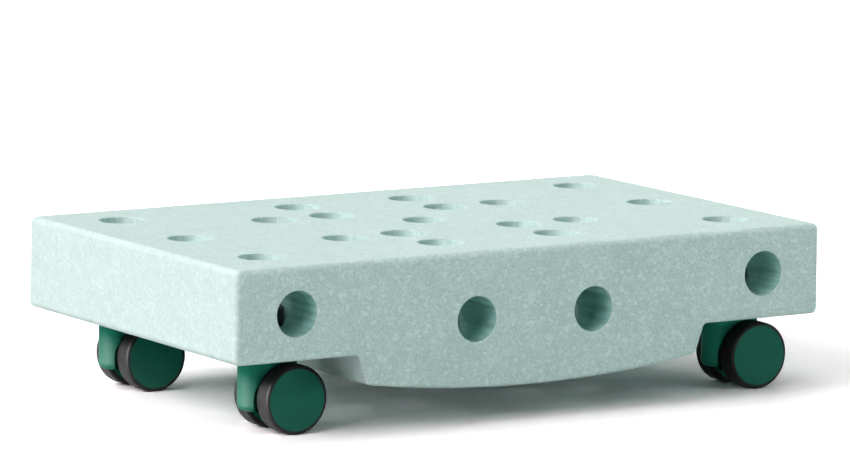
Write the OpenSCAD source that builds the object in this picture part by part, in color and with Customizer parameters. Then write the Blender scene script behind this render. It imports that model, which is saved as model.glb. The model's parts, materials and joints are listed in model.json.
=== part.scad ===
// Rolling foam board: a moulded bead-foam deck with peg holes and a rocker belly,
// carried on four twin-wheel swivel castors. The castors trail towards +X.
// The origin is on the floor, under the middle of the deck.

/* [Deck] */
// Length of the deck
deck_l = 500; // [480:1:600]
// Width of the deck
deck_w = 300; // [280:1:380]
// Thickness of the deck at its ends
deck_t = 67.5; // [64:0.5:90]
// Rounding of the deck's upright corners
corner_r = 5; // [3:0.5:12]
// Rounding of the deck's other edges
edge_r = 4; // [2:0.5:8]

/* [Belly] */
// How far the belly's middle hangs below the deck's ends
belly_drop = 32.5; // [28:0.5:36]
// How far the foot of the belly's end faces hangs below the deck's ends
belly_end_drop = 22; // [16:0.5:26]
// How far the belly's end faces lean in over that height
belly_lean = 7.5; // [4:0.5:16]
// Gap between the belly's ends and the circle that a turning castor sweeps
belly_gap = 3.75; // [0.5:0.25:6]

/* [Peg holes] */
// Diameter of the peg holes
hole_d = 33; // [28:0.5:36]
// Pitch of the grid that the peg holes in the middle stand on
hole_pitch = 50; // [46:1:54]
// Distance from the deck's edges to the axes of its corner and end holes
corner_inset = 50; // [44:1:56]
// Radius of the rounding at the mouth of a hole
mouth_r = 1; // [0.5:0.25:3]
// Width of the chamfer at a hole's mouth in the belly
mouth_chamfer = 1; // [0.5:0.25:3]
// Height of the end side holes above the deck's underside
side_end_z = 33.5; // [30:0.5:36]
// Height of the middle side holes above the deck's underside
side_mid_z = 18.5; // [18:0.5:24]
// How far the side holes run past the axes of the upright holes that they meet
side_past = 4; // [1:0.5:8]

/* [Wheels] */
// Diameter of a wheel over its tyre
wheel_d = 50; // [44:0.5:54]
// Width of a tyre
tyre_w = 15.5; // [14:0.5:18]
// Depth of the rubber under the tread
tyre_t = 3.5; // [3:0.5:5]
// Rounding of the tyre's edges
tyre_edge_r = 2; // [1:0.25:2.5]
// Width of the black rim that shows round a cap
rim_show = 2.5; // [1.5:0.1:2.8]
// Thickness of a wheel cap
cap_t = 2; // [1.5:0.25:3]
// Rounding of a cap's outer edge
cap_edge_r = 0.6; // [0.3:0.1:1]
// Gap between the two wheels of a castor
wheel_gap = 16; // [15:0.5:20]
// Diameter of the axle
axle_d = 6; // [5:0.5:7]
// Chamfer at the ends of the axle and at the top of the stem
rod_bevel = 0.6; // [0.3:0.1:0.8]
// Thickness of the plate and walls of a wheel core
core_wall = 2.5; // [2:0.25:3.5]
// Outer diameter of a wheel core's hub
core_hub_d = 14; // [12:0.5:16]
// Outer diameter of an axle clip
clip_d = 11; // [9:0.5:12]
// Thickness of an axle clip
clip_t = 1; // [0.8:0.1:1.4]

/* [Fork] */
// Distance that the axle trails behind the swivel axis
trail = 16.5; // [12:0.5:18]
// Depth of the axle below the deck's underside
axle_drop = 33; // [32.5:0.5:42]
// Width of the fork's hood
hood_w = 20; // [18:0.5:24]
// Distance from the swivel axis to the front of the hood
hood_front = 17.5; // [15:0.5:20]
// Distance from the swivel axis to the back of the hood
hood_back = 37; // [32:0.5:42]
// Depth of the hood's nose below the deck's underside
hood_drop = 40.5; // [38:0.5:46]
// Rounding of the nose's lower edge
nose_r = 5; // [2:0.5:7]
// How far below the axle the hood's hollow is centred
hollow_drop = 1; // [0:0.5:4]
// Least gap between a tyre and the hood's hollow
hood_gap = 1.5; // [0.5:0.1:2]
// Outer diameter of the fork's axle boss
boss_d = 18; // [14:0.5:20]
// Gap between the fork's web and each wheel
web_gap = 0.5; // [0.3:0.1:1]

/* [Stem] */
// Height of the plug above the deck's underside
plug_h = 33.5; // [33:0.5:46]
// Chamfer round the plug's top
plug_bevel = 2; // [0.5:0.5:3]
// Diameter of the hollow in the plug's top
plug_cup_d = 22; // [16:0.5:24]
// Depth of the hollow in the plug's top
plug_cup_h = 7; // [4:0.5:7]
// Diameter of the stem in the plug
stem_d = 11; // [10:0.5:12]
// Length of the stem in the plug
stem_h = 22; // [20:0.5:23]
// Diameter of the spindle that the fork turns on
spindle_d = 8; // [7:0.5:8.5]
// Depth of the spindle's tip below the deck's underside
spindle_drop = 21.5; // [20.5:0.5:24]
// Depth of the fork's seat for the snap ring below the deck's underside
ring_seat = 18; // [16:0.5:18.5]
// Thickness of the grip ring and the snap ring
ring_t = 1.2; // [0.8:0.1:1.6]
// How far a ring stands out of its groove
ring_show = 1.2; // [0.6:0.1:1.3]
// Height of the grip ring above the stem's shoulder
grip_z = 14; // [8:0.5:16]
// Outer diameter of the thrust washer
washer_d = 19; // [16:0.5:20]
// Thickness of the thrust washer
washer_t = 1.6; // [1.2:0.1:2.4]

/* [Fits] */
// Radial clearance of a turning fit
run_clear = 0.05; // [0.02:0.01:0.1]
// Radial clearance of a fit that is pushed together
push_clear = 0.03; // [0.01:0.01:0.05]
// Gap between the deck's underside and the top of a fork
deck_gap = 0.6; // [0.4:0.1:1.5]
// Gap between faces that turn past each other
face_gap = 0.15; // [0.1:0.05:0.3]

/* [Hidden] */
CASTORS = ["front_left", "front_right", "back_left", "back_right"];
SIDES = ["near", "far"];
CASTOR_PARTS = ["plug", "stem", "grip_ring", "washer", "snap_ring", "fork", "axle", "axle_clips"];
WHEEL_PARTS = ["wheel", "tyre", "cap"];

FOAM = [0.66, 0.80, 0.77];
GREEN = [0.10, 0.36, 0.27];
BLACK = [0.04, 0.04, 0.04];
STEEL = [0.70, 0.71, 0.72];

// How far a cutting shape runs past what it cuts
over = 1;
// Share of a mouth's rounding that lies below the face, so that it meets the face at a slight edge
mouth_share = 0.9;
// Ribs in a wheel core
core_ribs = 6;
// Angle of the gap in a spring ring
ring_split = 40;

// Where the castors stand, and the end holes between them
castor_x = deck_l/2 - corner_inset;
castor_y = deck_w/2 - corner_inset;
CASTOR_AT = [for (y = [-castor_y, castor_y], x = [-castor_x, castor_x]) [x, y]];
END_AT = [for (x = [-castor_x, castor_x]) [x, 0]];

// The open peg holes: one in the middle, and three round each corner of the middle square
row_1 = hole_pitch;
row_2 = 2*hole_pitch;
CENTER_AT = [[0, 0]];
GRID_AT = [for (x = [-1, 1], y = [-1, 1], p = [[row_1, row_2], [row_1, row_1], [row_2, row_1]])
    [x*p[0], y*p[1]]];
BELLY_AT = concat(CENTER_AT, GRID_AT);

wheel_r = wheel_d/2;
castor_w = wheel_gap + 2*tyre_w;
underside = axle_drop + wheel_r;
deck_top = underside + deck_t;
castor_sweep = norm([trail + wheel_r, castor_w/2]);

belly_half = castor_x - castor_sweep - belly_gap;
belly_sag = belly_drop - belly_end_drop;
belly_foot = belly_half - belly_lean;
belly_r = (belly_foot^2 + belly_sag^2)/(2*belly_sag);
belly_tilt = atan(belly_lean/belly_end_drop);

hole_r = hole_d/2;
mouth_sink = mouth_share*mouth_r;
side_end_depth = corner_inset + side_past;
side_mid_depth = deck_w/2 - row_2 + side_past;

core_r = wheel_r - tyre_t;
cap_r = wheel_r - rim_show;
core_in = wheel_gap/2;
core_out = castor_w/2 - cap_t;
hub_out = core_out - clip_t - 3*face_gap - core_wall;
axle_half = hub_out + clip_t + 2*face_gap + core_wall/2;
rim_r = core_r - core_wall;

hood_top = underside - deck_gap;
hood_r = hood_w/2;
hollow_r = wheel_r + hood_gap + hollow_drop;
hollow_z = wheel_r - hollow_drop;
plate_z = hollow_z + hollow_r;
web_half = wheel_gap/2 - web_gap;
boss_r = boss_d/2;

washer_z = hood_top + face_gap;
shoulder_z = washer_z + washer_t;
grip_bottom = shoulder_z + grip_z;
seat_z = underside - ring_seat;
snap_bottom = seat_z - face_gap - ring_t;
grip_groove_d = stem_d - 2*ring_show;
snap_groove_d = spindle_d - 2*ring_show;

module rounded_rect(w, h, r) {
    square([w - 2*r, h], center = true);
    square([w, h - 2*r], center = true);
    for (x = [-1, 1], y = [-1, 1])
        translate([x*(w/2 - r), y*(h/2 - r)])
            circle(r, $fn = 48);
}

// Half of a rounded rectangle, for turning round its left side
module turned_rect(radius, h, r) {
    intersection() {
        rounded_rect(2*radius, h, r);
        translate([0, -h])
            square([radius + over, 2*h]);
    }
}

module at_places(places) {
    for (p = places)
        translate([p[0], p[1], 0])
            children();
}

// The deck without its belly or holes
module slab() {
    translate([0, 0, underside + deck_t/2])
        intersection() {
            linear_extrude(deck_t + 2*over, center = true)
                rounded_rect(deck_l, deck_w, corner_r);
            rotate([90, 0, 0])
                linear_extrude(deck_w + 2*over, center = true)
                    rounded_rect(deck_l, deck_t, edge_r);
            rotate([90, 0, 90])
                linear_extrude(deck_l + 2*over, center = true)
                    rounded_rect(deck_w, deck_t, edge_r);
        }
}

// A long block whose left end leans as the belly's end does
module belly_end() {
    translate([-belly_half, 0, underside])
        rotate([0, -belly_tilt, 0])
            linear_extrude(2*deck_l, center = true)
                translate([deck_l/2, 0])
                    square([deck_l, 2*deck_w], center = true);
}

// The rocker: a slice of a large wheel with rounded edges
module belly() {
    intersection() {
        translate([0, 0, underside - belly_drop + belly_r])
            rotate([90, 0, 0])
                rotate_extrude($fn = 360)
                    turned_rect(belly_r, deck_w, edge_r);
        translate([-deck_l/2, -deck_w, 0])
            cube([deck_l, 2*deck_w, underside + deck_t/2]);
        belly_end();
        mirror([1, 0, 0])
            belly_end();
    }
}

// A hole's rounded mouth: the hole runs down from z = 0, and its wall rolls out to the face there
module hole_with_mouth(depth) {
    rotate_extrude($fn = 96) {
        translate([0, -depth])
            square([hole_r, depth + over]);
        difference() {
            translate([0, -mouth_sink])
                square([hole_r + mouth_r, mouth_sink + over]);
            translate([hole_r + mouth_r, -mouth_sink])
                circle(mouth_r, $fn = 48);
        }
    }
}

// The chamfer at a hole's mouth in the belly, square to the belly's curve
module belly_mouth(x) {
    lean = asin(x/belly_r);
    translate([x, 0, underside - belly_drop + belly_r*(1 - cos(lean))])
        rotate([0, -lean, 0])
            translate([0, 0, -over])
                cylinder(
                    h = mouth_chamfer + 2*over,
                    r1 = hole_r + mouth_chamfer + over,
                    r2 = hole_r - over,
                    $fn = 96);
}

// One long side's holes: two at the ends and two in the middle
module side_holes() {
    for (x = [-1, 1]) {
        translate([x*castor_x, -deck_w/2, underside + side_end_z])
            rotate([90, 0, 0])
                hole_with_mouth(side_end_depth);
        translate([x*row_1, -deck_w/2, underside + side_mid_z])
            rotate([90, 0, 0])
                hole_with_mouth(side_mid_depth);
    }
}

module deck() {
    color(FOAM)
        difference() {
            union() {
                slab();
                belly();
            }
            at_places(concat(BELLY_AT, END_AT, CASTOR_AT))
                translate([0, 0, deck_top])
                    hole_with_mouth(deck_t + belly_drop + over);
            at_places(END_AT)
                translate([0, 0, underside])
                    mirror([0, 0, 1])
                        hole_with_mouth(deck_t/2);
            for (p = BELLY_AT)
                translate([0, p[1], 0])
                    belly_mouth(p[0]);
            side_holes();
            mirror([0, 1, 0])
                side_holes();
        }
}

// The black plug that is pressed into a corner hole and holds the stem
module plug() {
    color(BLACK)
        difference() {
            translate([0, 0, underside])
                rotate_extrude($fn = 96)
                    difference() {
                        square([hole_r - push_clear, plug_h]);
                        translate([hole_r - push_clear, plug_h])
                            rotate(45)
                                square(plug_bevel*sqrt(2), center = true);
                    }
            translate([0, 0, underside + plug_h - plug_cup_h])
                cylinder(d = plug_cup_d, h = plug_cup_h + over, $fn = 96);
            translate([0, 0, underside - over])
                cylinder(r = washer_d/2 + push_clear, h = shoulder_z - underside + over, $fn = 96);
            translate([0, 0, underside])
                cylinder(r = stem_d/2 + push_clear, h = shoulder_z - underside + stem_h + over, $fn = 96);
            translate([0, 0, grip_bottom - face_gap])
                cylinder(r = stem_d/2 + ring_show/2 + face_gap, h = ring_t + 2*face_gap, $fn = 96);
        }
}

// The steel stem: a grooved shank in the plug, and a thinner spindle that the fork turns on
module stem() {
    color(STEEL)
        difference() {
            union() {
                translate([0, 0, shoulder_z])
                    rotate_extrude($fn = 96)
                        difference() {
                            square([stem_d/2, stem_h]);
                            translate([stem_d/2, stem_h])
                                rotate(45)
                                    square(rod_bevel*sqrt(2), center = true);
                        }
                translate([0, 0, underside - spindle_drop])
                    cylinder(d = spindle_d, h = shoulder_z - underside + spindle_drop + over, $fn = 96);
            }
            groove(grip_bottom, stem_d, grip_groove_d);
            groove(snap_bottom, spindle_d, snap_groove_d);
        }
}

// A ring's groove round a rod
module groove(bottom, rod_d, floor_d) {
    translate([0, 0, bottom - push_clear])
        difference() {
            cylinder(d = rod_d + 2*over, h = ring_t + 2*push_clear, $fn = 96);
            translate([0, 0, -over])
                cylinder(d = floor_d, h = ring_t + 2*push_clear + 2*over, $fn = 96);
        }
}

// A split spring ring that lies in a groove
module split_ring(floor_d, rod_d, stand_out) {
    rotate(ring_split/2)
        rotate_extrude(angle = 360 - ring_split, $fn = 96)
            translate([floor_d/2 + push_clear, 0])
                square([(rod_d - floor_d)/2 + stand_out - push_clear, ring_t]);
}

module grip_ring() {
    color(STEEL)
        translate([0, 0, grip_bottom])
            split_ring(grip_groove_d, stem_d, ring_show/2);
}

module snap_ring() {
    color(STEEL)
        translate([0, 0, snap_bottom])
            split_ring(snap_groove_d, spindle_d, ring_show);
}

// The thrust washer between the plug and the fork
module washer() {
    color(STEEL)
        translate([0, 0, washer_z])
            difference() {
                cylinder(d = washer_d, h = washer_t, $fn = 96);
                translate([0, 0, -over])
                    cylinder(r = spindle_d/2 + push_clear, h = washer_t + 2*over, $fn = 96);
            }
}

// The hood: a rounded nose in front of the wheels and a plate back over them
module hood() {
    nose_x = hood_r - hood_front;
    tail_x = hood_back - hood_r;
    nose_h = hood_drop - deck_gap;
    difference() {
        union() {
            translate([nose_x, 0, hood_top - nose_h])
                rotate_extrude($fn = 96)
                    difference() {
                        square([hood_r, nose_h]);
                        difference() {
                            translate([hood_r - nose_r, -over])
                                square([nose_r + over, nose_r + over]);
                            translate([hood_r - nose_r, nose_r])
                                circle(nose_r, $fn = 48);
                        }
                    }
            translate([nose_x, -hood_r, plate_z - over])
                cube([tail_x - nose_x, hood_w, hood_top - plate_z + over]);
            translate([tail_x, 0, plate_z])
                cylinder(r = hood_r, h = hood_top - plate_z, $fn = 96);
        }
        translate([trail, 0, hollow_z])
            rotate([90, 0, 0])
                cylinder(r = hollow_r, h = 2*hood_w, center = true, $fn = 96);
        translate([trail, -hood_w, -over])
            cube([hood_back, 2*hood_w, plate_z + over]);
    }
}

// The web between the wheels, which carries the axle boss
module web() {
    top_z = plate_z + over;
    rotate([90, 0, 0])
        linear_extrude(2*web_half, center = true) {
            polygon([
                [nose_back() - over, top_z],
                [trail + boss_r, top_z],
                [trail + boss_r, wheel_r],
                [trail - boss_r, wheel_r],
                [nose_back() - over, hollow_z + hollow_drop + boss_r]
            ]);
            translate([trail, wheel_r])
                circle(boss_r, $fn = 96);
        }
}

// Where the hood's hollow begins, level with the top of the axle boss
function nose_back() = trail - sqrt(hollow_r^2 - (hollow_drop + boss_r)^2);

module fork() {
    color(GREEN)
        difference() {
            union() {
                hood();
                web();
            }
            translate([0, 0, seat_z - over])
                cylinder(r = spindle_d/2 + run_clear, h = hood_top - seat_z + 2*over, $fn = 96);
            cylinder(r = spindle_d/2 + ring_show + 4*face_gap, h = seat_z, $fn = 96);
            translate([trail, 0, wheel_r])
                rotate([90, 0, 0])
                    cylinder(r = axle_d/2 + push_clear, h = castor_w, center = true, $fn = 96);
        }
}

module axle() {
    color(STEEL)
        translate([trail, 0, wheel_r])
            rotate([90, 0, 0])
                union() {
                    cylinder(d = axle_d, h = 2*(axle_half - rod_bevel), center = true, $fn = 96);
                    for (s = [0, 1])
                        mirror([0, 0, s])
                            translate([0, 0, axle_half - rod_bevel])
                                cylinder(d1 = axle_d, d2 = axle_d - 2*rod_bevel, h = rod_bevel, $fn = 96);
                }
}

// The two push-on clips that keep the wheels on the axle
module axle_clips() {
    color(STEEL)
        for (s = [0, 1])
            mirror([0, s, 0])
                on_wheel_axis()
                    translate([0, 0, hub_out + face_gap])
                        difference() {
                            cylinder(d = clip_d, h = clip_t, $fn = 96);
                            translate([0, 0, -over])
                                cylinder(r = axle_d/2 + push_clear, h = clip_t + 2*over, $fn = 96);
                        }
}

// Lays what is built along +Z along the axle, out towards -Y
module on_wheel_axis() {
    translate([trail, 0, wheel_r])
        rotate([90, 0, 0])
            children();
}

// A wheel's green core: a hub, a rim and a plate between them, with ribs on the inner side
module wheel_core() {
    plate_at = core_in + (core_out - core_in)/2;
    bore_r = axle_d/2 + run_clear;
    color(GREEN)
        on_wheel_axis() {
            rotate_extrude($fn = 96) {
                translate([bore_r, core_in])
                    square([core_hub_d/2 - bore_r, hub_out - core_in]);
                translate([core_hub_d/2 - over, plate_at])
                    square([rim_r - core_hub_d/2 + 2*over, core_wall]);
                translate([rim_r, core_in])
                    square([core_wall - push_clear, core_out - core_in]);
            }
            for (k = [0 : core_ribs - 1])
                rotate(k*360/core_ribs)
                    translate([core_hub_d/2 - over, -core_wall/2, core_in + over])
                        cube([rim_r - core_hub_d/2 + 2*over, core_wall, plate_at - core_in]);
        }
}

// A black tyre with rounded edges and a step that the cap sits in
module tyre() {
    color(BLACK)
        on_wheel_axis()
            translate([0, 0, core_in + tyre_w/2])
                rotate_extrude($fn = 96)
                    difference() {
                        turned_rect(wheel_r, tyre_w, tyre_edge_r);
                        translate([0, -tyre_w])
                            square([core_r, 2*tyre_w]);
                        translate([0, tyre_w/2 - cap_t])
                            square([cap_r + push_clear, cap_t + over]);
                    }
}

// A flat cap with a rounded edge, and a skirt that pushes into the core's rim
module cap() {
    skirt_r = rim_r - push_clear;
    skirt_h = core_wall;
    color(GREEN)
        on_wheel_axis()
            translate([0, 0, core_out])
                rotate_extrude($fn = 96) {
                    difference() {
                        square([cap_r, cap_t]);
                        difference() {
                            translate([cap_r - cap_edge_r, cap_t - cap_edge_r])
                                square(cap_edge_r + over);
                            translate([cap_r - cap_edge_r, cap_t - cap_edge_r])
                                circle(cap_edge_r, $fn = 48);
                        }
                    }
                    translate([skirt_r - core_wall/2, -skirt_h])
                        square([core_wall/2, skirt_h + cap_t/2]);
                }
}

deck();

for (i = [0 : 3])
    at_places([CASTOR_AT[i]]) {
        plug();
        stem();
        grip_ring();
        washer();
        snap_ring();
        fork();
        axle();
        axle_clips();
        for (s = [0, 1])
            mirror([0, s, 0]) {
                wheel_core();
                tyre();
                cap();
            }
    }
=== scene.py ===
"""The looks of a rolling foam board: a moulded bead-foam deck on four twin-wheel swivel castors.

Sizes are in metres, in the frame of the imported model: +X along the deck, +Z up, the floor at z = 0.
"""
import json
import math

import bmesh
import bpy
from mathutils import Matrix, Vector

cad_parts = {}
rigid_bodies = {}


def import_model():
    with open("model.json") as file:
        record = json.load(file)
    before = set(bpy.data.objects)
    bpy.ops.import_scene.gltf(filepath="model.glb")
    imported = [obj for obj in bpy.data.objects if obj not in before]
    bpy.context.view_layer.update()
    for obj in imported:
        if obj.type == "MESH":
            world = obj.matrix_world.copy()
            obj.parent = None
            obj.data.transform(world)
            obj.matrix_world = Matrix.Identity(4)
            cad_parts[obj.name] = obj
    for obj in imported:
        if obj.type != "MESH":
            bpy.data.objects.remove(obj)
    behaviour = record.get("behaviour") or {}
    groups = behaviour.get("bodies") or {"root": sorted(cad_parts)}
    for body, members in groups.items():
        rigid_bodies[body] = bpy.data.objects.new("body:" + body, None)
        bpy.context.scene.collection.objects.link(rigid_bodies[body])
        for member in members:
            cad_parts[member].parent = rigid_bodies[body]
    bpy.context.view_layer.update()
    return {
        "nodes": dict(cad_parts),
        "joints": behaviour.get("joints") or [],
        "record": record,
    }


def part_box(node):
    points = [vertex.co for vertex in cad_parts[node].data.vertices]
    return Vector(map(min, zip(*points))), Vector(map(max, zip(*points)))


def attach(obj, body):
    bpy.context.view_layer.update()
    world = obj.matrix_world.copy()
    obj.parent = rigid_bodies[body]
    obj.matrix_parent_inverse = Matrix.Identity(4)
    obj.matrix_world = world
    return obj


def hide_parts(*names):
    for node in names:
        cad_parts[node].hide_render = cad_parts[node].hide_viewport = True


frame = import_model()

MM = 0.001

# The photograph's camera
CAMERA_AT = (-2.31655, -3.64181, 0.75507)
CAMERA_BACK = (-0.53094, -0.83469, 0.14625)
CAMERA_ROLL = math.radians(0.742)
FOCAL_PX = 5915.4
IMAGE_W_PX = 850
SENSOR_W_MM = 36.0
CLIP_END = 50

# Sizes of the deck that the frame gives
DECK_LOW, DECK_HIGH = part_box("deck")
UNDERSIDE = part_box("front_left_plug")[0].z
MOUNTS = {m["name"]: m for m in frame["record"]["mounts"]}
HOLE_R = MOUNTS["center_hole"]["dims"]["r_mm"]*MM
STEP = MOUNTS["inner_holes"]["dims"]["spacing_x_mm"]*MM/2
SWIVELS = {
    joint["child"].removesuffix("_castor"): Vector(joint["pos_m"])
    for joint in frame["joints"] if joint["parent"] == "board"
}
CASTOR_X = SWIVELS["front_right"].x
CASTOR_Y = SWIVELS["back_right"].y
HALF_L = DECK_HIGH.x
HALF_W = DECK_HIGH.y
TOP = DECK_HIGH.z

# The deck's outline seen from the long side
BELLY_HALF = 148.55*MM
BELLY_LEAN = 7.5*MM
BELLY_END_DROP = 22*MM
BELLY_DROP = UNDERSIDE - DECK_LOW.z
BELLY_FOOT = BELLY_HALF - BELLY_LEAN
BELLY_SAG = BELLY_DROP - BELLY_END_DROP
BELLY_R = (BELLY_FOOT**2 + BELLY_SAG**2)/(2*BELLY_SAG)
BELLY_STEPS = 48
CORNER_R = 4.5*MM
FOOT_R = 4.5*MM
INNER_R = 4*MM
TOP_EDGE_R = 4.5*MM
LOW_EDGE_R = 3*MM

# The peg holes. GRID is where they lie in one quarter of the deck, in steps along X and Y
GRID = ((1, 2), (1, 1), (2, 1))
MOUTH_R = 1*MM
SIDE_END_Z = UNDERSIDE + 33.5*MM
SIDE_MID_Z = UNDERSIDE + 18.5*MM
SIDE_PAST_AXIS = 4*MM
HOLE_STEPS = 72
TURNS = [2*math.pi*k/HOLE_STEPS for k in range(HOLE_STEPS)]

# How far a cutter stands out of the face that it starts at
OVER = 0.4*MM

# The deck's materials, by number, and the size of a foam bead
FOAM, UPRIGHT_HOLE, SIDE_HOLE = range(3)
BEAD = 2.4*MM

# The studio. The floor has one colour where it lights the object and another where it is seen
AMBIENT = 0.02
AMBIENT_TINT = (0.98, 1, 0.99)
FLOOR_BOUNCE = (0.65, 0.65, 0.65)
FLOOR_SEEN = (1.475, 1.415, 1.43)
WARM = (1, 0.955, 0.965)
PLAIN = (1, 1, 1)
COOL = (0.68, 1, 0.94)
FLOOR_HALF = 30

# A panel on the left that only shows as a reflection
PANEL_AT = Vector((-1.45, -0.25, 1.15))
PANEL_W = 1.4
PANEL_H = 1.0
PANEL_POWER = 1350

# A castor's fork, with x and y from the axis that it swivels on
FORK_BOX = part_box("front_left_fork")
FORK_LOW, FORK_HIGH = (corner - SWIVELS["front_left"] for corner in FORK_BOX)
FORK_BOTTOM, HOOD_TOP = (corner.z for corner in FORK_BOX)
HOOD_R = FORK_HIGH.y
# A little under a half round, so that no two corners of the hood meet in one point
HOOD_END_R = 0.99*HOOD_R
AXLE = next(Vector(j["pos_m"]) for j in frame["joints"] if j["child"] == "front_left_near_roller")
TRAIL = AXLE.x - SWIVELS["front_left"].x
NOSE_R = 5*MM
HOOD_EDGE_R = 0.8*MM
HOLLOW_Z = AXLE.z - 1*MM
HOLLOW_R = 27.5*MM
PLATE_Z = HOLLOW_Z + HOLLOW_R
WEB_HALF = 7.5*MM
BOSS_R = 9*MM
SPINDLE_BORE_R = 4.05*MM
RING_POCKET_R = 5.8*MM
RING_SEAT_Z = UNDERSIDE - 18*MM
AXLE_BORE_R = 3.03*MM
FORK_BEVEL = 0.45*MM
WEB_OVER = 1*MM


def upright(x, y, z):
    return Vector((x, y, z))


def across(x, z, y):
    """Places an outline that is drawn as seen from the long side."""
    return Vector((x, y, z))


def at_axle(x, z, y):
    return Vector((TRAIL + x, y, AXLE.z + z))


def arc_points(start, end, steps):
    return [start + (end - start)*k/steps for k in range(steps + 1)]


def rounded_outline(corners, steps=8):
    """[(point, outward normal)] round a closed outline, anticlockwise. Each corner is (x, y, radius)."""
    outline = []
    for k, (x, y, radius) in enumerate(corners):
        here = Vector((x, y))
        came = (here - Vector(corners[k - 1][:2])).normalized()
        goes = (Vector(corners[(k + 1) % len(corners)][:2]) - here).normalized()
        turn = math.atan2(came.x*goes.y - came.y*goes.x, came.dot(goes))
        out = Vector((came.y, -came.x))
        if radius == 0:
            outline.append((here, Matrix.Rotation(turn/2, 2) @ out))
            continue
        side = math.copysign(radius, turn)
        centre = here - came*radius*abs(math.tan(turn/2)) - out*side
        for angle in arc_points(0, turn, steps):
            normal = Matrix.Rotation(angle, 2) @ out
            outline.append((centre + normal*side, normal))
    return outline


def new_mesh(name, points, faces, materials, face_materials=None):
    mesh = bpy.data.meshes.new(name)
    mesh.from_pydata([tuple(p) for p in points], [], faces)
    for material in materials:
        mesh.materials.append(material)
    if face_materials:
        mesh.polygons.foreach_set("material_index", face_materials)
    skin = bmesh.new()
    skin.from_mesh(mesh)
    bmesh.ops.recalc_face_normals(skin, faces=skin.faces)
    skin.to_mesh(mesh)
    skin.free()
    return mesh


def new_object(name, data):
    made = bpy.data.objects.new(name, data)
    bpy.context.scene.collection.objects.link(made)
    return made


def shell(rings, row_materials=None):
    """Points, faces and face materials of a closed skin over rings of points that go the same way round."""
    count = len(rings[0])
    points = [p for ring in rings for p in ring]
    faces = [tuple(reversed(range(count)))]
    materials = [row_materials[0] if row_materials else 0]
    for row in range(len(rings) - 1):
        for k in range(count):
            a, b = row*count + k, row*count + (k + 1) % count
            faces.append((a, b, b + count, a + count))
            materials.append(row_materials[row] if row_materials else 0)
    faces.append(tuple(range((len(rings) - 1)*count, len(rings)*count)))
    materials.append(row_materials[-1] if row_materials else 0)
    return points, faces, materials


def joined(shells):
    """Several shells as one list of points, faces and face materials."""
    points, faces, materials = [], [], []
    for some, their_faces, their_materials in shells:
        faces += [tuple(i + len(points) for i in face) for face in their_faces]
        points += some
        materials += their_materials
    return points, faces, materials


def prism_rings(outline, low, high, low_r, high_r, place, steps=6):
    """Rings of an outline extruded from low to high. low_r and high_r give the rounding at a point."""
    rings = []
    for end, inwards, radius, turn in ((low, 1, low_r, (0, math.pi/2)), (high, -1, high_r, (math.pi/2, 0))):
        for angle in arc_points(*turn, steps):
            ring = []
            for point, normal in outline:
                r = radius(point)
                inset = point - normal*r*(1 - math.sin(angle))
                ring.append(place(*inset, end + inwards*r*(1 - math.cos(angle))))
            rings.append(ring)
    return rings


def carve(target, cutter, operation="DIFFERENCE"):
    """Cuts one object out of another, or joins the two, and removes the cutter."""
    modifier = target.modifiers.new("carve", "BOOLEAN")
    modifier.operation = operation
    modifier.solver = "EXACT"
    modifier.object = cutter
    settle(target)
    bpy.data.objects.remove(cutter)


def settle(target):
    """Makes what the modifiers give the object's own mesh."""
    graph = bpy.context.evaluated_depsgraph_get()
    mesh = bpy.data.meshes.new_from_object(target.evaluated_get(graph))
    target.modifiers.clear()
    target.data = mesh


def smooth(piece, angle=35):
    mesh = piece.data
    mesh.polygons.foreach_set("use_smooth", [True]*len(mesh.polygons))
    mesh.set_sharp_from_angle(angle=math.radians(angle))
    weighted = piece.modifiers.new("weighted normals", "WEIGHTED_NORMAL")
    weighted.keep_sharp = True
    weighted.weight = 100


def belly_z(x):
    """Height of the deck's underside at x."""
    if abs(x) >= BELLY_FOOT:
        return UNDERSIDE
    return UNDERSIDE - BELLY_DROP + BELLY_R - math.sqrt(BELLY_R**2 - x**2)


def edge_r(point):
    """Rounding of the deck's long edges: softer at the top than at the belly."""
    share = min(max((point.y - UNDERSIDE)/(TOP - UNDERSIDE), 0), 1)
    return LOW_EDGE_R + (TOP_EDGE_R - LOW_EDGE_R)*share


def mouth_rows(radius, steps=7, last=84):
    """(added radius, depth below the face) down a rounded mouth, from just outside the face to the wall."""
    rows = [(radius, -OVER)]
    for angle in arc_points(math.radians(last), 0, steps):
        rows.append((radius*(1 - math.cos(angle)), radius*(1 - math.sin(angle))))
    return rows


def upright_hole(x, y, low_mouth):
    """A hole down through the deck. low_mouth is the rounding where it comes out underneath."""
    top_rows = mouth_rows(MOUTH_R)
    low_rows = list(reversed(mouth_rows(low_mouth))) if low_mouth else [(0, -OVER)]
    rings = [[Vector((x + (HOLE_R + r)*math.cos(a), y + (HOLE_R + r)*math.sin(a), TOP - d)) for a in TURNS]
             for r, d in top_rows]
    for r, d in low_rows:
        ring = []
        for a in TURNS:
            at = x + (HOLE_R + r)*math.cos(a)
            ring.append(Vector((at, y + (HOLE_R + r)*math.sin(a), belly_z(at) + d)))
        rings.append(ring)
    rows = len(rings) - 1
    wall = len(top_rows) - 1
    return shell(rings, [UPRIGHT_HOLE if row == wall else FOAM for row in range(rows)])


def side_hole(x, z, side, depth):
    """A blind hole in a long side: side is -1 in front and 1 behind."""
    rows = mouth_rows(MOUTH_R) + [(0, depth)]
    rings = [[Vector((x + (HOLE_R + r)*math.cos(a), side*(HALF_W - d), z + (HOLE_R + r)*math.sin(a)))
              for a in TURNS] for r, d in rows]
    return shell(rings, [SIDE_HOLE if row == len(rows) - 2 else FOAM for row in range(len(rows) - 1)])


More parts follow.
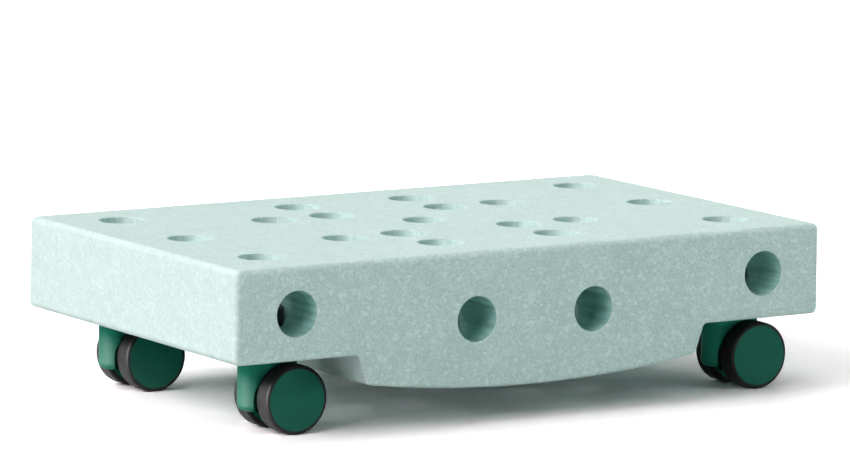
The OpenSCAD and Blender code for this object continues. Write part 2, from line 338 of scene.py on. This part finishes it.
def make_deck(materials):
    arc = [BELLY_FOOT*(2*k/BELLY_STEPS - 1) for k in range(1, BELLY_STEPS)]
    corners = [
        (-HALF_L, TOP, CORNER_R),
        (-HALF_L, UNDERSIDE, CORNER_R),
        (-BELLY_HALF, UNDERSIDE, INNER_R),
        (-BELLY_FOOT, UNDERSIDE - BELLY_END_DROP, FOOT_R),
        *((x, belly_z(x), 0) for x in arc),
        (BELLY_FOOT, UNDERSIDE - BELLY_END_DROP, FOOT_R),
        (BELLY_HALF, UNDERSIDE, INNER_R),
        (HALF_L, UNDERSIDE, CORNER_R),
        (HALF_L, TOP, CORNER_R),
    ]
    rings = prism_rings(rounded_outline(corners), -HALF_W, HALF_W, edge_r, edge_r, across)
    deck = new_object("foam_deck", new_mesh("foam_deck", *shell(rings)[:2], materials))

    grid = [(sx*p, sy*q) for sx in (-STEP, STEP) for sy in (-STEP, STEP) for p, q in GRID]
    ends = [(-CASTOR_X, 0), (CASTOR_X, 0)]
    top = [upright_hole(x, y, MOUTH_R) for x, y in [(0, 0), *grid, *ends]]
    top += [upright_hole(place.x, place.y, 0) for place in SWIVELS.values()]
    side = []
    for way in (-1, 1):
        for x in (-1, 1):
            side.append(side_hole(x*CASTOR_X, SIDE_END_Z, way, HALF_W - CASTOR_Y + SIDE_PAST_AXIS))
            side.append(side_hole(x*STEP, SIDE_MID_Z, way, HALF_W - 2*STEP + SIDE_PAST_AXIS))
    for name, shells in (("upright_cut", top), ("side_cut", side)):
        points, faces, face_materials = joined(shells)
        carve(deck, new_object(name, new_mesh(name, points, faces, materials, face_materials)))
    smooth(deck)
    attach(deck, "board")
    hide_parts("deck")
    return deck


def bore(radius, low, high, place):
    """A round cutter from low to high."""
    outer = radius/math.cos(math.pi/HOLE_STEPS)
    return shell([[place(outer*math.cos(a), outer*math.sin(a), at) for a in TURNS] for at in (low, high)])


def make_forks(material):
    """A fork for each castor: a rounded hood, hollow over the wheels, and a web that carries the axle."""
    stadium = rounded_outline([
        (FORK_LOW.x, -HOOD_R, HOOD_END_R),
        (FORK_HIGH.x, -HOOD_R, HOOD_END_R),
        (FORK_HIGH.x, HOOD_R, HOOD_END_R),
        (FORK_LOW.x, HOOD_R, HOOD_END_R),
    ], steps=20)
    hood = prism_rings(stadium, FORK_BOTTOM, HOOD_TOP, lambda p: NOSE_R, lambda p: HOOD_EDGE_R, upright)

    hollow = [(TRAIL + HOLLOW_R*math.cos(a), HOLLOW_Z + HOLLOW_R*math.sin(a))
              for a in arc_points(math.pi/2, math.pi*3/2, 60)]
    hollow += [(FORK_HIGH.x + HOOD_R, HOLLOW_Z - HOLLOW_R), (FORK_HIGH.x + HOOD_R, PLATE_Z)]

    boss_top = AXLE.z + BOSS_R
    web_back = TRAIL - math.sqrt(HOLLOW_R**2 - (boss_top - HOLLOW_Z)**2) - WEB_OVER
    web = [(web_back, PLATE_Z + WEB_OVER), (web_back, boss_top)]
    web += [(TRAIL + BOSS_R*math.cos(a), AXLE.z + BOSS_R*math.sin(a))
            for a in arc_points(math.pi, 2*math.pi, 36)]
    web += [(TRAIL + BOSS_R, PLATE_Z + WEB_OVER)]

    fork = new_object("fork", new_mesh("fork", *shell(hood)[:2], [material]))
    steps = [
        ("DIFFERENCE", shell([[across(x, z, y) for x, z in hollow] for y in (-2*HOOD_R, 2*HOOD_R)])),
        ("UNION", shell([[across(x, z, y) for x, z in web] for y in (-WEB_HALF, WEB_HALF)])),
        ("DIFFERENCE", bore(SPINDLE_BORE_R, RING_SEAT_Z - WEB_OVER, HOOD_TOP + WEB_OVER, upright)),
        ("DIFFERENCE", bore(RING_POCKET_R, FORK_BOTTOM, RING_SEAT_Z, upright)),
        ("DIFFERENCE", bore(AXLE_BORE_R, -2*HOOD_R, 2*HOOD_R, at_axle)),
    ]
    for operation, (points, faces, _) in steps:
        carve(fork, new_object("tool", new_mesh("tool", points, faces, [material])), operation)
    bevel = fork.modifiers.new("bevel", "BEVEL")
    bevel.width = FORK_BEVEL
    bevel.segments = 3
    bevel.limit_method = "ANGLE"
    bevel.angle_limit = math.radians(40)
    settle(fork)
    mesh = fork.data
    bpy.data.objects.remove(fork)
    for castor, place in SWIVELS.items():
        piece = new_object(f"{castor}_fork_shell", mesh)
        piece.location = (place.x, place.y, 0)
        smooth(piece)
        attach(piece, f"{castor}_castor")
        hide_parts(f"{castor}_fork")


def blank(name):
    material = bpy.data.materials.new(name)
    material.use_nodes = True
    return material, material.node_tree, material.node_tree.nodes["Principled BSDF"]


def add(tree, kind, inputs=None, **settings):
    """Adds a shader node. An input is a value, or the output that it is linked from."""
    made = tree.nodes.new("ShaderNode" + kind)
    for key, value in settings.items():
        setattr(made, key, value)
    feed(tree, made, inputs or {})
    return made


def feed(tree, made, inputs):
    for key, value in inputs.items():
        if isinstance(value, bpy.types.NodeSocket):
            tree.links.new(value, made.inputs[key])
        else:
            made.inputs[key].default_value = value


def spread(tree, value, low, high, start=0.3, end=0.7):
    """A texture's value between start and end, spread from low to high."""
    ranges = {"Value": value, "From Min": start, "From Max": end, "To Min": low, "To Max": high}
    return add(tree, "MapRange", ranges).outputs["Result"]


def blend(tree, factor, dark, light):
    mix = add(tree, "Mix", data_type="RGBA")
    feed(tree, mix, {"Factor": factor})
    mix.inputs["A"].default_value = (*dark, 1)
    mix.inputs["B"].default_value = (*light, 1)
    return mix.outputs["Result"]


def noise(tree, place, size, detail=2):
    return add(tree, "TexNoise", {"Vector": place, "Scale": 1/size, "Detail": detail}).outputs["Fac"]


def total(tree, first, *others):
    """The sum of several values."""
    for other in others:
        first = add(tree, "Math", {0: first, 1: other}, operation="ADD").outputs[0]
    return first


def foam_look(name, dark, light):
    """Moulded bead foam: beads of slightly different tones, mottled most on the long sides."""
    material, tree, shader = blank(name)
    where = add(tree, "TexCoord").outputs
    place = where["Object"]
    beads = {"Vector": place, "Scale": 1/BEAD}
    bead = add(tree, "TexVoronoi", beads).outputs["Color"]
    seam = add(tree, "TexVoronoi", beads, feature="DISTANCE_TO_EDGE").outputs["Distance"]
    luck = add(tree, "SeparateColor", {"Color": bead}).outputs["Red"]
    grain = noise(tree, place, 1.5*MM)
    cloud = noise(tree, place, 12*MM)
    tone = spread(tree, luck, -0.16, 0.12, 0, 1)
    speck = spread(tree, luck, 0, 0.3, 0.86, 1)
    mottle = total(tree, tone, speck, spread(tree, grain, -0.3, 0.3), spread(tree, cloud, -0.1, 0.1))

    facing = add(tree, "SeparateXYZ", {"Vector": where["Normal"]}).outputs["Y"]
    long_side = add(tree, "Math", {0: facing}, operation="ABSOLUTE").outputs[0]
    contrast = spread(tree, long_side, 0.8, 1.7, 0, 1)
    factor = add(tree, "Math", {0: mottle, 1: contrast, 2: 0.4}, operation="MULTIPLY_ADD").outputs[0]
    height = total(tree, spread(tree, seam, 0, 1, 0, 0.25), spread(tree, grain, 0, 0.5))
    bump = add(tree, "Bump", {"Height": height, "Strength": 0.2, "Distance": 0.25*MM})
    feed(tree, shader, {
        "Base Color": blend(tree, factor, dark, light),
        "Roughness": spread(tree, grain, 0.7, 0.85),
        "Specular IOR Level": 0,
        "Normal": bump.outputs["Normal"],
    })
    return material


def wall_look(name, dark, light, along):
    """The smooth skin inside a peg hole, streaked along the hole. along shrinks the texture that way."""
    material, tree, shader = blank(name)
    place = add(tree, "TexCoord").outputs["Object"]
    drawn = add(tree, "VectorMath", {0: place, 1: along}, operation="MULTIPLY").outputs[0]
    streak = noise(tree, drawn, 4*MM, 3)
    cloud = noise(tree, place, 9*MM)
    factor = total(tree, spread(tree, streak, 0, 0.85), spread(tree, cloud, -0.15, 0.2))
    bump = add(tree, "Bump", {"Height": streak, "Strength": 0.25, "Distance": 0.2*MM})
    feed(tree, shader, {
        "Base Color": blend(tree, factor, dark, light),
        "Roughness": spread(tree, cloud, 0.42, 0.6),
        "Specular IOR Level": 0.05,
        "Normal": bump.outputs["Normal"],
    })
    return material


def moulded_look(name, dark, light, rough, shine):
    """Moulded plastic or rubber with a fine grain."""
    material, tree, shader = blank(name)
    place = add(tree, "TexCoord").outputs["Object"]
    grain = noise(tree, place, 0.5*MM, 3)
    cloud = noise(tree, place, 14*MM)
    tone = total(tree, spread(tree, cloud, 0.2, 0.7), spread(tree, grain, -0.15, 0.15))
    bump = add(tree, "Bump", {"Height": grain, "Strength": 0.12, "Distance": 0.05*MM})
    feed(tree, shader, {
        "Base Color": blend(tree, tone, dark, light),
        "Roughness": spread(tree, cloud, rough - 0.04, rough + 0.05),
        "Specular IOR Level": shine,
        "Normal": bump.outputs["Normal"],
    })
    return material


def steel_look(name):
    """Turned steel: fine rings round the rod."""
    material, tree, shader = blank(name)
    place = add(tree, "TexCoord").outputs["Object"]
    drawn = add(tree, "VectorMath", {0: place, 1: (0.2, 0.2, 3)}, operation="MULTIPLY").outputs[0]
    rings = noise(tree, drawn, 1*MM, 3)
    bump = add(tree, "Bump", {"Height": rings, "Strength": 0.1, "Distance": 0.03*MM})
    feed(tree, shader, {
        "Base Color": blend(tree, spread(tree, rings, 0, 1), (0.52, 0.53, 0.54), (0.66, 0.67, 0.68)),
        "Metallic": 1.0,
        "Roughness": spread(tree, rings, 0.24, 0.38),
        "Normal": bump.outputs["Normal"],
    })
    return material


def add_camera():
    data = bpy.data.cameras.new("camera")
    data.sensor_width = SENSOR_W_MM
    data.lens = FOCAL_PX/IMAGE_W_PX*SENSOR_W_MM
    data.clip_end = CLIP_END
    back = Vector(CAMERA_BACK).normalized()
    level = Vector((0, 0, 1)).cross(back).normalized()
    rise = back.cross(level)
    right = level*math.cos(CAMERA_ROLL) + rise*math.sin(CAMERA_ROLL)
    up = back.cross(right)
    camera = new_object("camera", data)
    camera.matrix_world = Matrix.Translation(CAMERA_AT) @ Matrix((right, up, back)).transposed().to_4x4()
    bpy.context.scene.camera = camera


def add_sun(name, turn, rise, level, wide, tint):
    """A soft distant light: turn and rise are degrees from +X and from the floor, and wide is its size in
    degrees. level is how bright it makes a white face that is square to it."""
    data = bpy.data.lights.new(name, "SUN")
    data.energy = level*math.pi
    data.color = tint
    data.angle = math.radians(wide)
    sun = new_object(name, data)
    sun.rotation_euler = (0, math.radians(90 - rise), math.radians(turn))


def add_softbox():
    """A bright panel on the left that only shows as a reflection."""
    data = bpy.data.lights.new("softbox", "AREA")
    data.shape = "RECTANGLE"
    data.size = PANEL_W
    data.size_y = PANEL_H
    data.energy = PANEL_POWER
    panel = new_object("softbox", data)
    panel.location = PANEL_AT
    panel.rotation_mode = "QUATERNION"
    panel.rotation_quaternion = PANEL_AT.to_track_quat("Z", "Y")
    panel.visible_diffuse = False
    panel.visible_camera = False


def seen_rays(tree):
    """1 for what the camera sees, straight or in a reflection, and 0 for light on the object."""
    path = add(tree, "LightPath").outputs
    seen = path["Is Camera Ray"]
    for ray in ("Is Glossy Ray", "Is Transmission Ray"):
        seen = add(tree, "Math", {0: seen, 1: path[ray]}, operation="MAXIMUM").outputs[0]
    return seen


def add_world():
    world = bpy.data.worlds.new("studio")
    bpy.context.scene.world = world
    world.use_nodes = True
    tree = world.node_tree
    background = tree.nodes["Background"]
    feed(tree, background, {
        "Color": (*AMBIENT_TINT, 1),
        "Strength": spread(tree, seen_rays(tree), AMBIENT, 1, 0, 1),
    })


def add_floor():
    points = [(x*FLOOR_HALF, y*FLOOR_HALF, 0) for x, y in ((-1, -1), (1, -1), (1, 1), (-1, 1))]
    material, tree, shader = blank("floor")
    tree.nodes.remove(shader)
    diffuse = add(tree, "BsdfDiffuse", {"Color": blend(tree, seen_rays(tree), FLOOR_BOUNCE, FLOOR_SEEN)})
    tree.links.new(diffuse.outputs[0], tree.nodes["Material Output"].inputs["Surface"])
    floor = new_object("floor", new_mesh("floor", points, [(0, 1, 2, 3)], [material]))


looks = {
    "foam": foam_look("foam", (0.53, 0.675, 0.645), (0.705, 0.865, 0.83)),
    # The fork plastic is given a lighter green than the caps' plastic: painted light from the left on the
    # forks
    "fork": moulded_look("fork_plastic_painted_light", (0.008, 0.190, 0.122), (0.010, 0.215, 0.138), 0.58, 0.15),
    "cap": moulded_look("cap_plastic", (0.005, 0.112, 0.073), (0.007, 0.128, 0.084), 0.5, 0.1),
    "black_plastic": moulded_look("black_plastic", (0.010, 0.010, 0.010), (0.014, 0.014, 0.014), 0.4, 0.4),
    "tyre_rubber": moulded_look("tyre_rubber", (0.007, 0.007, 0.007), (0.010, 0.010, 0.010), 0.58, 0.155),
    "steel": steel_look("steel"),
}
for part in frame["record"]["subparts"]:
    node = frame["nodes"][part["node"]]
    slot = part["material_slot"]
    # The caps keep the plastic's own deep green. The forks and the wheels get a lighter green of the same
    # plastic: painted light, for the light from the left on the forks
    if slot == "green_plastic":
        slot = "cap" if part["node"].endswith("_cap") else "fork"
    node.data.materials.clear()
    node.data.materials.append(looks[slot])

upright_wall = wall_look("upright_wall", (0.52, 0.72, 0.67), (0.72, 0.89, 0.855), (1, 1, 0.05))
# The side holes' walls are darker and more saturated than the foam: painted shade deep inside the holes
side_wall_painted_shade = wall_look("side_wall_painted_shade", (0.21, 0.43, 0.39), (0.42, 0.72, 0.66), (1, 0.05, 1))
make_deck([looks["foam"], upright_wall, side_wall_painted_shade])
make_forks(looks["fork"])
add_camera()
add_floor()
add_world()
add_sun("key", 202, 30, 0.32, 30, WARM)
add_sun("high", 182, 45, 0.23, 30, WARM)
add_sun("left", 172, 32, 0.34, 30, WARM)
add_sun("low", 160, 12, 0.125, 30, WARM)
add_sun("back", 60, 40, 0.20, 30, PLAIN)
add_sun("far", 100, 40, 0.24, 30, PLAIN)
add_sun("top", 150, 75, 0.14, 30, PLAIN)
add_sun("front", 290, 45, 0.085, 30, PLAIN)
add_sun("fill", 328, 3, 0.36, 12, COOL)
add_softbox()

bpy.context.scene.view_settings.view_transform = "Standard"
